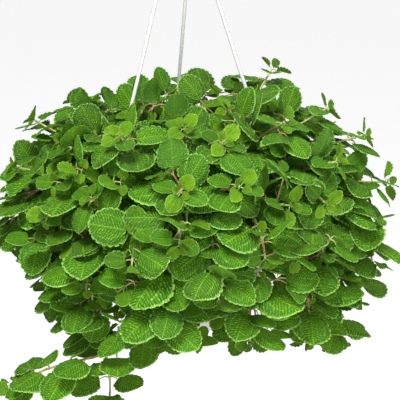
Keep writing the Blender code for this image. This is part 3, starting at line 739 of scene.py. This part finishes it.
class Nodes:
    """Short ways to add and link nodes in one tree."""

    def __init__(self, tree):
        self.tree = tree

    def put(self, socket, value):
        """Link a socket, or set its number."""
        if isinstance(value, bpy.types.NodeSocket):
            self.tree.links.new(value, socket)
        elif value is not None:
            socket.default_value = value

    def add(self, kind, output=0, settings=None, **inputs):
        """Add a node, set its properties and inputs, and return one of its outputs.

        Inputs are named, with _ for a space, or numbered as i0, i1 and so on.
        """
        node = self.tree.nodes.new(kind)
        for name, value in (settings or {}).items():
            setattr(node, name, value)
        for name, value in inputs.items():
            key = int(name[1:]) if name[0] == "i" and name[1:].isdigit() else name.replace("_", " ")
            self.put(node.inputs[key], value)
        return node.outputs[output]

    def math(self, operation, a, b=None, c=None):
        """A Math node."""
        return self.add("ShaderNodeMath", 0, {"operation": operation}, i0=a, i1=b, i2=c)

    def ramp(self, value, low, high, to_low=0.0, to_high=1.0):
        """A smooth Map Range node."""
        return self.add("ShaderNodeMapRange", 0, {"interpolation_type": "SMOOTHSTEP"}, Value=value,
                        From_Min=low, From_Max=high, To_Min=to_low, To_Max=to_high)

    def mix(self, factor, a, b, blend="MIX"):
        """A colour Mix node."""
        node = self.tree.nodes.new("ShaderNodeMix")
        node.data_type = "RGBA"
        node.blend_type = blend
        self.put(node.inputs[0], factor)
        for socket, value in ((node.inputs[6], a), (node.inputs[7], b)):
            if not isinstance(value, bpy.types.NodeSocket):
                value = (*value, 1.0)
            self.put(socket, value)
        return node.outputs[2]

    def noise(self, vector, scale, detail=2.0, roughness=0.5):
        """A noise value from 0 to 1."""
        return self.add("ShaderNodeTexNoise", 0, None, Vector=vector, Scale=scale, Detail=detail,
                        Roughness=roughness)

    def finish_group(self, **outputs):
        """Link the group's outputs."""
        sink = self.tree.nodes.new("NodeGroupOutput")
        for name, value in outputs.items():
            self.put(sink.inputs[name.replace("_", " ")], value)

    def use(self, group, **inputs):
        """Place a group and return its outputs."""
        node = self.tree.nodes.new("ShaderNodeGroup")
        node.node_tree = group
        for name, value in inputs.items():
            self.put(node.inputs[name.replace("_", " ")], value)
        return node.outputs


def ribs_group():
    """Veins of a blade in its own flat coordinates: midrib, a curved vein each side, and fine ribs.

    With b the distance from the midrib and a the distance from the stalk, both in blade lengths, a rib is
    a crest of sin(2 pi Ribs (a - 0.62 b)), moved by noise, cut into cells by sin(74 b) and broken by finer
    noise.  The side vein follows b = 0.98 a (1.08 - a) and fades towards the tip.
    """
    group, g, given = new_group(
        "leaf_ribs",
        [("Blade", "NodeSocketVector", None), ("Seed", "NodeSocketFloat", 0.0),
         ("Ribs", "NodeSocketFloat", 13.5)],
        [("Rib", "NodeSocketFloat"), ("Vein", "NodeSocketFloat"), ("Relief", "NodeSocketFloat")])
    blade, seed, ribs = (given[k] for k in ("Blade", "Seed", "Ribs"))
    xyz = g.tree.nodes.new("ShaderNodeSeparateXYZ")
    g.put(xyz.inputs[0], blade)
    across = g.math("ABSOLUTE", xyz.outputs[0])
    along = xyz.outputs[1]
    apart = g.math("MULTIPLY", seed, 40.0)
    moved = g.add("ShaderNodeCombineXYZ", 0, None, X=xyz.outputs[0], Y=along, Z=apart)
    wobble = g.math("SUBTRACT", g.noise(moved, 7.0, 2.0), 0.5)
    slant = g.math("SUBTRACT", along, g.math("MULTIPLY", across, 0.62))
    slant = g.math("ADD", slant, g.math("MULTIPLY", wobble, 0.12))
    wave = g.math("SINE", g.math("MULTIPLY", g.math("MULTIPLY", slant, ribs), 2 * math.pi))
    bent = g.math("ADD", across, g.math("MULTIPLY", wobble, 0.14))
    cross_wave = g.math("SINE", g.math("MULTIPLY", bent, 74.0))
    rib = g.ramp(wave, -0.9, 0.5)
    cell = g.math("MULTIPLY_ADD", cross_wave, 0.28, 0.72)
    broken = g.ramp(g.noise(moved, 26.0, 1.0), 0.32, 0.6, 0.25, 1.0)
    rib = g.math("MULTIPLY", g.math("MULTIPLY", rib, cell), broken)
    arc = g.math("MULTIPLY", g.math("MULTIPLY", along, g.math("SUBTRACT", 1.08, along)), 0.98)
    side_gap = g.math("ABSOLUTE", g.math("SUBTRACT", across, arc))
    side_vein = g.ramp(side_gap, 0.008, 0.026, 1.0, 0.0)
    side_vein = g.math("MULTIPLY", side_vein, g.ramp(along, 0.55, 0.95, 0.75, 0.0))
    mid_vein = g.ramp(across, 0.006, 0.026, 1.0, 0.0)
    vein = g.math("MAXIMUM", mid_vein, side_vein)
    relief = g.math("MULTIPLY", rib, g.math("SUBTRACT", 1.0, vein))
    g.finish_group(Rib=rib, Vein=vein, Relief=relief)
    return group


def mottle_group():
    """Uneven tone: two sizes of noise in object space mixed into one factor about 0.5."""
    group, g, given = new_group(
        "soft_mottle",
        [("Position", "NodeSocketVector", None), ("Size", "NodeSocketFloat", 60.0),
         ("Strength", "NodeSocketFloat", 1.0)],
        [("Tone", "NodeSocketFloat")])
    position, size, strength = (given[k] for k in ("Position", "Size", "Strength"))
    wide = g.noise(position, size, 3.0)
    fine = g.noise(position, g.math("MULTIPLY", size, 5.0), 2.0)
    both = g.math("SUBTRACT", g.math("MULTIPLY_ADD", fine, 0.4, g.math("MULTIPLY", wide, 0.6)), 0.5)
    g.finish_group(Tone=g.math("MULTIPLY_ADD", both, strength, 0.5))
    return group


def start_material(name, colour):
    """A material with one Principled shader; returns the material, node helper and shader."""
    material = bpy.data.materials.new(name)
    material.use_nodes = True
    material.diffuse_color = (*colour, 1.0)
    shader = material.node_tree.nodes["Principled BSDF"]
    return material, Nodes(material.node_tree), shader


# Leaf colours: a blade's own tone by age and chance, painted shade that darkens some grown leaves picked at
# random, then what lies on it, with painted shade in the rib grooves and painted light on the rib crests
LIME = (0.66, 0.98, 0.002)
FRESH = (0.16, 0.5, 0.003)
DEEP = (0.066, 0.285, 0.003)
# painted shade: the dark green that some grown leaves take, as if they lay in shade
SHADED_LEAF_PAINT = (0.028, 0.13, 0.006)
YELLOWED = (0.2, 0.5, 0.004)
MIDDLE = (0.3, 0.62, 0.003)
# painted shade and painted light: the rib grooves take the darker colour below as shade, and the crests the
# lighter one as lit ridges
GROOVE_PAINTED_SHADE = (0.2, 0.34, 0.16)
CREST_PAINTED_LIGHT = (0.42, 0.84, 0.03)
VEIN = (0.25, 0.56, 0.04)
MARGIN = (0.46, 0.86, 0.16)
BLOTCH = (0.025, 0.11, 0.008)
UNDERSIDE = (0.11, 0.32, 0.035)
GLOW = (0.3, 0.6, 0.02)

# Stem and stalk colours, each a pair that the mottle blends
GREEN_STEM = ((0.2, 0.36, 0.06), (0.34, 0.3, 0.12))
BROWN_STEM = ((0.15, 0.075, 0.035), (0.32, 0.18, 0.09))

MIX_COLOURS = ((0.012, 0.008, 0.005), (0.075, 0.045, 0.027))


def leaf_material(ribs, mottle):
    """Blade: lime when young to deep green when old, painted shade in the rib grooves and painted light on
    the rib crests, painted shade on some grown leaves picked at random, a lighter margin, and its own
    underside.
    """
    material, m, shader = start_material("leaf_blade", (0.1, 0.3, 0.03))
    attribute = {}
    for name in ("edge", "age", "seed"):
        attribute[name] = m.add("ShaderNodeAttribute", 2, {"attribute_name": name})
    blade = m.add("ShaderNodeUVMap", 0, {"uv_map": "blade"})
    place = m.add("ShaderNodeTexCoord", 3)
    pattern = m.use(ribs, Blade=blade, Seed=attribute["seed"])
    tone = m.use(mottle, Position=place, Size=45.0, Strength=1.2)["Tone"]
    age = attribute["age"]
    seed = attribute["seed"]
    middle = m.ramp(attribute["edge"], 0.0, 0.9, 0.45, 0.0)
    young = m.mix(m.ramp(age, 0.0, 0.45), LIME, FRESH)
    body = m.mix(m.ramp(age, 0.4, 1.0), young, DEEP)
    grown = m.ramp(age, 0.05, 0.5)
    # painted shade: grown leaves picked at random by seed are darkened towards the shaded green
    shade = m.math("MULTIPLY", m.ramp(seed, 0.45, 0.95, 0.0, 0.8), grown)
    body = m.mix(shade, body, SHADED_LEAF_PAINT)
    body = m.mix(m.ramp(seed, 0.0, 0.3, 0.5, 0.0), body, YELLOWED)
    body = m.mix(middle, body, MIDDLE)
    # painted shade in the rib grooves and painted light on the rib crests, blended by the rib pattern
    groove = m.mix(1.0, body, GROOVE_PAINTED_SHADE, "MULTIPLY")
    crest = m.mix(0.45, body, CREST_PAINTED_LIGHT)
    colour = m.mix(pattern["Rib"], groove, crest)
    colour = m.mix(m.math("MULTIPLY", pattern["Vein"], 0.22), colour, VEIN)
    rim = m.ramp(attribute["edge"], 0.86, 0.97, 0.0, 0.62)
    colour = m.mix(rim, colour, MARGIN)
    colour = m.mix(m.ramp(tone, 0.3, 0.7, 0.4, 0.0), colour, BLOTCH)
    under = m.mix(0.4, colour, UNDERSIDE)
    back = m.add("ShaderNodeNewGeometry", "Backfacing")
    shown = m.mix(back, colour, under)
    m.put(shader.inputs["Base Color"], shown)
    m.put(shader.inputs["Roughness"], m.ramp(pattern["Rib"], 0.0, 1.0, 0.62, 0.42))
    shader.inputs["Specular IOR Level"].default_value = 0.28
    bump = m.add("ShaderNodeBump", 0, None, Strength=1.0, Distance=0.002, Height=pattern["Relief"])
    m.put(shader.inputs["Normal"], bump)
    glow = m.tree.nodes.new("ShaderNodeBsdfTranslucent")
    m.put(glow.inputs["Color"], m.mix(0.5, shown, GLOW))
    mixed = m.tree.nodes.new("ShaderNodeMixShader")
    mixed.inputs[0].default_value = 0.2
    m.tree.links.new(shader.outputs[0], mixed.inputs[1])
    m.tree.links.new(glow.outputs[0], mixed.inputs[2])
    output = m.tree.nodes["Material Output"]
    m.tree.links.new(mixed.outputs[0], output.inputs["Surface"])
    return material


def stem_material(mottle):
    """Stems and stalks: green and faintly pink when young, reddish brown when old."""
    material, m, shader = start_material("stem_skin", (0.2, 0.12, 0.06))
    age = m.add("ShaderNodeAttribute", 2, {"attribute_name": "age"})
    place = m.add("ShaderNodeTexCoord", 3)
    tone = m.use(mottle, Position=place, Size=220.0, Strength=1.4)["Tone"]
    young = m.mix(m.ramp(tone, 0.35, 0.7), *GREEN_STEM)
    old = m.mix(m.ramp(tone, 0.35, 0.7), *BROWN_STEM)
    m.put(shader.inputs["Base Color"], m.mix(m.ramp(age, 0.2, 0.62), young, old))
    shader.inputs["Roughness"].default_value = 0.5
    bump = m.add("ShaderNodeBump", 0, None, Strength=0.4, Distance=0.0002, Height=tone)
    m.put(shader.inputs["Normal"], bump)
    return material


def plastic_material(name, colour, mottle, roughness):
    """Moulded plastic with a faint unevenness and a little dust toned into it."""
    material, m, shader = start_material(name, colour)
    place = m.add("ShaderNodeTexCoord", 3)
    tone = m.use(mottle, Position=place, Size=35.0, Strength=1.0)["Tone"]
    dusty = tuple(0.86 * c for c in colour)
    m.put(shader.inputs["Base Color"], m.mix(m.ramp(tone, 0.35, 0.75), colour, dusty))
    m.put(shader.inputs["Roughness"], m.ramp(tone, 0.3, 0.7, roughness - 0.05, roughness + 0.1))
    bump = m.add("ShaderNodeBump", 0, None, Strength=0.15, Distance=0.0002, Height=tone)
    m.put(shader.inputs["Normal"], bump)
    return material


def soil_material(mottle):
    """Dark crumbly potting mix with lighter fibres."""
    material, m, shader = start_material("potting_mix_crumb", (0.04, 0.025, 0.015))
    place = m.add("ShaderNodeTexCoord", 3)
    tone = m.use(mottle, Position=place, Size=140.0, Strength=1.6)["Tone"]
    m.put(shader.inputs["Base Color"], m.mix(m.ramp(tone, 0.3, 0.75), *MIX_COLOURS))
    shader.inputs["Roughness"].default_value = 0.95
    bump = m.add("ShaderNodeBump", 0, None, Strength=0.8, Distance=0.0012, Height=tone)
    m.put(shader.inputs["Normal"], bump)
    return material


# ---------------------------------------------------------------- made parts

def finish_cad(node, material, angle, soft):
    """Stand a merged copy in for a CAD node, with a soft bevel on edges that turn more than an angle."""
    points, tris = joined_mesh(node)
    mesh = bpy.data.meshes.new(node + "_finish")
    mesh.from_pydata(points.tolist(), [], tris.tolist())
    mesh.materials.append(material)
    mesh.shade_smooth()
    piece = bpy.data.objects.new(node + "_finish", mesh)
    bpy.context.scene.collection.objects.link(piece)
    bevel = piece.modifiers.new("softened_edges", "BEVEL")
    bevel.width = soft
    bevel.segments = 2
    bevel.limit_method = "ANGLE"
    bevel.angle_limit = math.radians(angle)
    bevel.harden_normals = True
    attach(piece, "root")
    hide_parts(node)


# ---------------------------------------------------------------- stage

# Floor: metres below the plant and out to each side, tone, and the shine that only the camera sees; sky:
# the shine that only the camera sees, and the light that it gives
FLOOR_DROP = 1.1
FLOOR_REACH = 40.0
FLOOR_TONE = (0.9, 0.9, 0.9)
FLOOR_SHINE = 0.72
SKY_SHINE = 0.73
SKY_LIGHT = 0.22

# Square lights that look at the middle of the rim: name, place from there, side and watts
LIGHTS = (
    ("key", (-0.25, -0.7, 1.15), 0.5, 38.0),
    ("fill", (1.3, -0.7, 0.35), 1.0, 21.0),
    ("front", (-0.1, -1.5, -0.25), 1.0, 20.0),
    ("back", (0.1, 0.9, 0.9), 1.0, 4.0),
)

CAMERA_ELEVATION = math.radians(18.0)
CAMERA_DISTANCE = 0.95
CAMERA_TARGET = np.array([10 * MM, 0.0, RIM - 8 * MM])
VIEW_WIDTH = 0.312
SENSOR = 36.0


def make_stage():
    """Pale floor well below the plant, soft lights round it and a dim even sky.

    Most of the floor's and the sky's brightness is for the camera alone, so they look pale and light little.
    """
    floor_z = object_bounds()[0].z - FLOOR_DROP
    mesh = bpy.data.meshes.new("floor")
    corners = [(x * FLOOR_REACH, y * FLOOR_REACH, floor_z) for x, y in ((-1, -1), (1, -1), (1, 1), (-1, 1))]
    mesh.from_pydata(corners, [], [(0, 1, 2, 3)])
    material, m, shader = start_material("pale_floor", FLOOR_TONE)
    shader.inputs["Base Color"].default_value = (*FLOOR_TONE, 1.0)
    shader.inputs["Roughness"].default_value = 0.9
    shader.inputs["Emission Color"].default_value = (1.0, 1.0, 1.0, 1.0)
    seen = m.add("ShaderNodeLightPath", "Is Camera Ray")
    m.put(shader.inputs["Emission Strength"], m.math("MULTIPLY", seen, FLOOR_SHINE))
    mesh.materials.append(material)
    floor = bpy.data.objects.new("floor", mesh)
    bpy.context.scene.collection.objects.link(floor)
    middle = np.array([0.0, 0.0, RIM])
    for name, place, size, power in LIGHTS:
        lamp = bpy.data.lights.new(name, "AREA")
        lamp.size = size
        lamp.energy = power
        holder = bpy.data.objects.new(name, lamp)
        holder.location = middle + np.array(place)
        x, y, z = -np.array(place)
        holder.rotation_euler = (math.atan2(math.hypot(x, y), -z), 0.0, math.atan2(y, x) - math.pi / 2)
        bpy.context.scene.collection.objects.link(holder)
    world = bpy.data.worlds.new("studio")
    world.use_nodes = True
    w = Nodes(world.node_tree)
    sky = world.node_tree.nodes["Background"]
    sky.inputs["Color"].default_value = (1.0, 1.0, 1.0, 1.0)
    seen = w.add("ShaderNodeLightPath", "Is Camera Ray")
    w.put(sky.inputs["Strength"], w.math("MULTIPLY_ADD", seen, SKY_SHINE, SKY_LIGHT))
    bpy.context.scene.world = world
    bpy.context.scene.view_settings.view_transform = "Standard"


def make_camera():
    """Camera in front, looking a little down on the plant; the hook is above its view."""
    camera = bpy.data.cameras.new("camera")
    camera.sensor_width = SENSOR
    camera.lens = SENSOR * CAMERA_DISTANCE / VIEW_WIDTH
    holder = bpy.data.objects.new("camera", camera)
    back = np.array([0.0, -math.cos(CAMERA_ELEVATION), math.sin(CAMERA_ELEVATION)])
    holder.location = CAMERA_TARGET + CAMERA_DISTANCE * back
    holder.rotation_euler = (math.pi / 2 - CAMERA_ELEVATION, 0.0, 0.0)
    bpy.context.scene.collection.objects.link(holder)
    bpy.context.scene.camera = holder


# ---------------------------------------------------------------- build

def build():
    """Make every piece."""
    mottle = mottle_group()
    blade = leaf_material(ribs_group(), mottle)
    skin = stem_material(mottle)
    white = plastic_material("white_plastic", (0.48, 0.48, 0.465), mottle, 0.35)
    strand = plastic_material("strand_plastic", (0.44, 0.45, 0.43), mottle, 0.4)
    finish_cad("pot", white, 35, 0.4 * MM)
    finish_cad("hanger_hook", white, 50, 0.5 * MM)
    finish_cad("potting_mix", soil_material(mottle), 60, 0.6 * MM)
    for node in ("strand_front_left", "strand_right", "strand_back"):
        finish_cad(node, strand, 50, 0.3 * MM)
    shoots, leaves = read_plant()
    grow_tips(shoots, leaves)
    room = Room(leaves, solid_tree())
    lift_leaves(leaves, room, TURNS)
    lift_leaves(leaves, room, GROWTHS)
    grow_twigs(shoots, leaves, room)
    base, d, n, length, owner, young = leaves.table()
    for number, shoot in enumerate(shoots):
        patch = Patch()
        seed = RNG.uniform()
        rooted = np.vstack([shoot["path"][:1] - ROOT_DEPTH * UP, shoot["path"]])
        add_stem(patch, rooted, STEM_ROOT, STEM_TIP, shoot["bases"], seed)
        for path in shoot["twigs"]:
            add_stem(patch, path, TWIG_ROOT, TWIG_TIP, path[:0], seed)
        mine = owner == number
        add_leaves(patch, base[mine], d[mine], n[mine], length[mine], young[mine])
        make_piece(shoot["node"].replace("vine", "shoot"), patch, [blade, skin], [shoot["node"]])


build()
make_stage()
make_camera()
